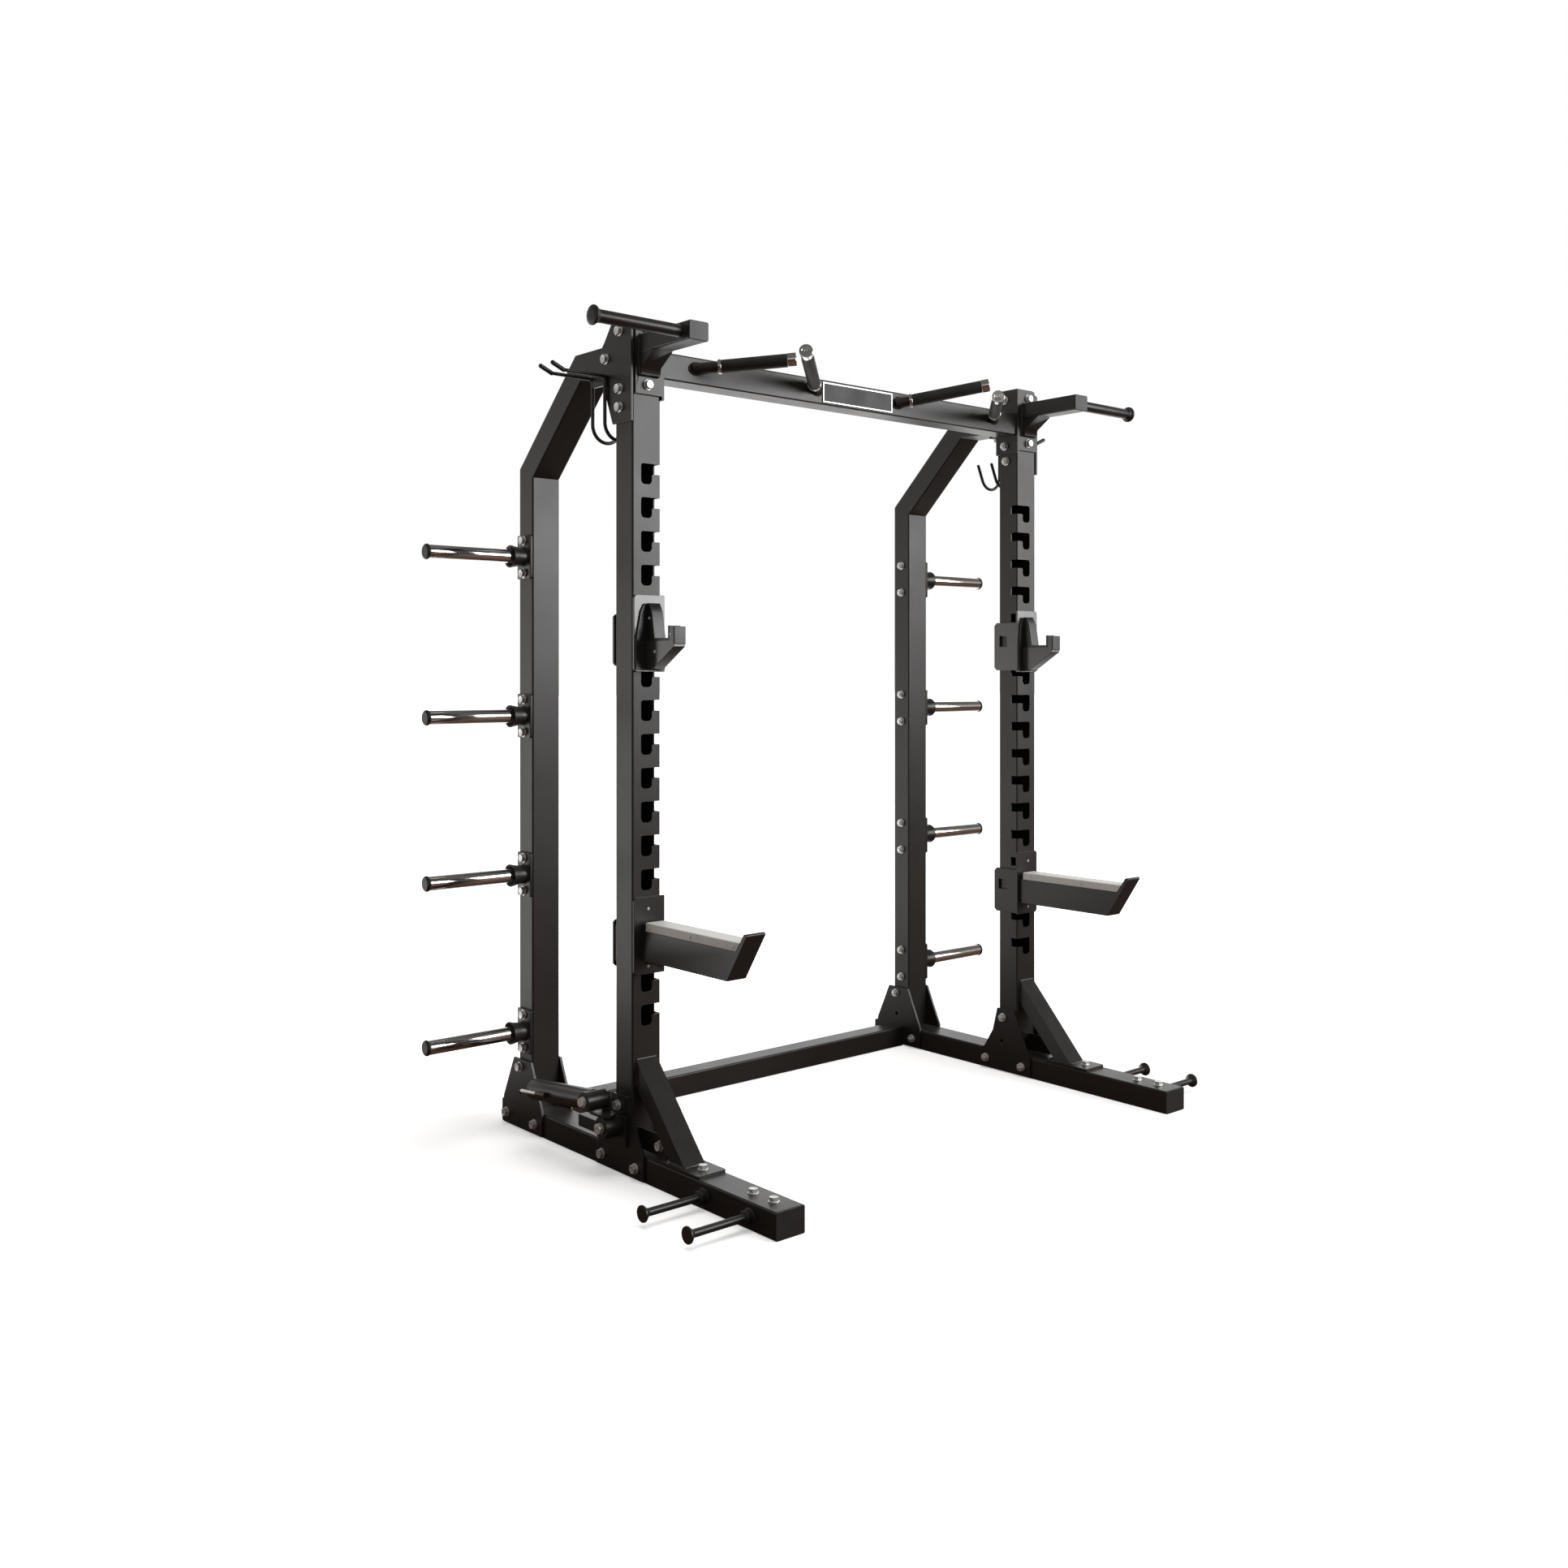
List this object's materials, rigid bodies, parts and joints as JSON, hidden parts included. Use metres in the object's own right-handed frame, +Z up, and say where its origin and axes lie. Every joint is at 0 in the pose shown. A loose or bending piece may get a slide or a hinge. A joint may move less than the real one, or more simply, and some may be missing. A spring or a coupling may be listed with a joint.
{
  "type": "half rack power cage",
  "caption": "Half rack for barbell training: slotted front posts with J-cups and safety arms, bent rear posts with plate storage pegs, a beam with angled pull-up grips, and a landmine.",
  "frame": {"origin": "on the floor, in the middle of the overall width and depth", "axes": "+Z up; -Y is the open front, where the J-cups and safety arms are; +X is the right-hand side seen from the front"},
  "size_m": [1.86, 1.026, 1.852],
  "materials": {
    "frame_black": "matte",
    "bracket_black": "satin",
    "cup_satin": "satin",
    "bolt_zinc": "satin",
    "peg_chrome": "polished",
    "grip_chrome": "polished",
    "cap_plastic": "matte",
    "grip_rubber": "matte",
    "liner_plastic": "satin",
    "strip_plastic": "satin",
    "badge": "satin",
    "hook_vinyl": "satin"
  },
  "bodies": {
    "rack": {"accessory_hook_left": "bracket_black", "accessory_hook_right": "bracket_black", "arm_end_caps": "cap_plastic", "band_pegs_left": "bracket_black", "band_pegs_right": "bracket_black", "base_rail_left": "frame_black", "base_rail_right": "frame_black", "foot_bolts": "bolt_zinc", "front_brace_left": "frame_black", "front_brace_right": "frame_black", "front_foot_plates_left": "frame_black", "front_foot_plates_right": "frame_black", "front_post_left": "frame_black", "front_post_right": "frame_black", "grip_rings": "grip_chrome", "grip_sleeves": "grip_rubber", "grip_stubs": "frame_black", "grip_tips": "grip_chrome", "handle_knobs": "cap_plastic", "hook_tips": "hook_vinyl", "landmine_bolts": "bolt_zinc", "landmine_mount": "bracket_black", "name_plate": "badge", "peg_bolts": "bolt_zinc", "peg_end_caps": "cap_plastic", "peg_flanges_left": "bracket_black", "peg_flanges_right": "bracket_black", "post_top_plugs": "cap_plastic", "pull_up_beam": "frame_black", "rail_end_caps": "cap_plastic", "rear_cross_member": "frame_black", "rear_foot_plates_left": "frame_black", "rear_foot_plates_right": "frame_black", "rear_post_left": "frame_black", "rear_post_right": "frame_black", "storage_pegs_left": "peg_chrome", "storage_pegs_right": "peg_chrome", "top_bolts": "bolt_zinc", "top_bracket_left": "frame_black", "top_bracket_right": "frame_black", "top_gusset_left": "frame_black", "top_gusset_right": "frame_black", "wide_grip_handle_left": "frame_black", "wide_grip_handle_right": "frame_black"},
    "j_cup_left": {"j_cup_left": "cup_satin", "j_cup_liner_left": "liner_plastic", "j_cup_screws_left": "bolt_zinc"},
    "j_cup_right": {"j_cup_right": "cup_satin", "j_cup_liner_right": "liner_plastic", "j_cup_screws_right": "bolt_zinc"},
    "safety_arm_left": {"safety_arm_left": "bracket_black", "safety_strip_left": "strip_plastic", "safety_screws_left": "bolt_zinc"},
    "safety_arm_right": {"safety_arm_right": "bracket_black", "safety_strip_right": "strip_plastic", "safety_screws_right": "bolt_zinc"},
    "landmine_swivel": {"landmine_swivel": "bracket_black", "landmine_tilt_bolt": "bolt_zinc"},
    "landmine_sleeve": {"landmine_sleeve": "bracket_black", "landmine_pin": "bolt_zinc"}
  },
  "joints": [
    {"name": "j_cup_left_lift", "type": "slide", "parent": "rack", "child": "j_cup_left", "axis": [0, 0, 1], "range_m": [0, 0.0225]},
    {"name": "j_cup_right_lift", "type": "slide", "parent": "rack", "child": "j_cup_right", "axis": [0, 0, 1], "range_m": [0, 0.0225]},
    {"name": "safety_arm_left_lift", "type": "slide", "parent": "rack", "child": "safety_arm_left", "axis": [0, 0, 1], "range_m": [0, 0.0225]},
    {"name": "safety_arm_right_lift", "type": "slide", "parent": "rack", "child": "safety_arm_right", "axis": [0, 0, 1], "range_m": [0, 0.0225]},
    {"name": "landmine_turn", "type": "hinge", "parent": "rack", "child": "landmine_swivel", "pos_m": [-0.705, 0.005, 0.136], "axis": [0, 0, 1], "range_deg": [0, 120]},
    {"name": "landmine_tilt", "type": "hinge", "parent": "landmine_swivel", "child": "landmine_sleeve", "pos_m": [-0.722, 0.031, 0.164], "axis": [1, 0, 0], "range_deg": [0, 90]}
  ]
}
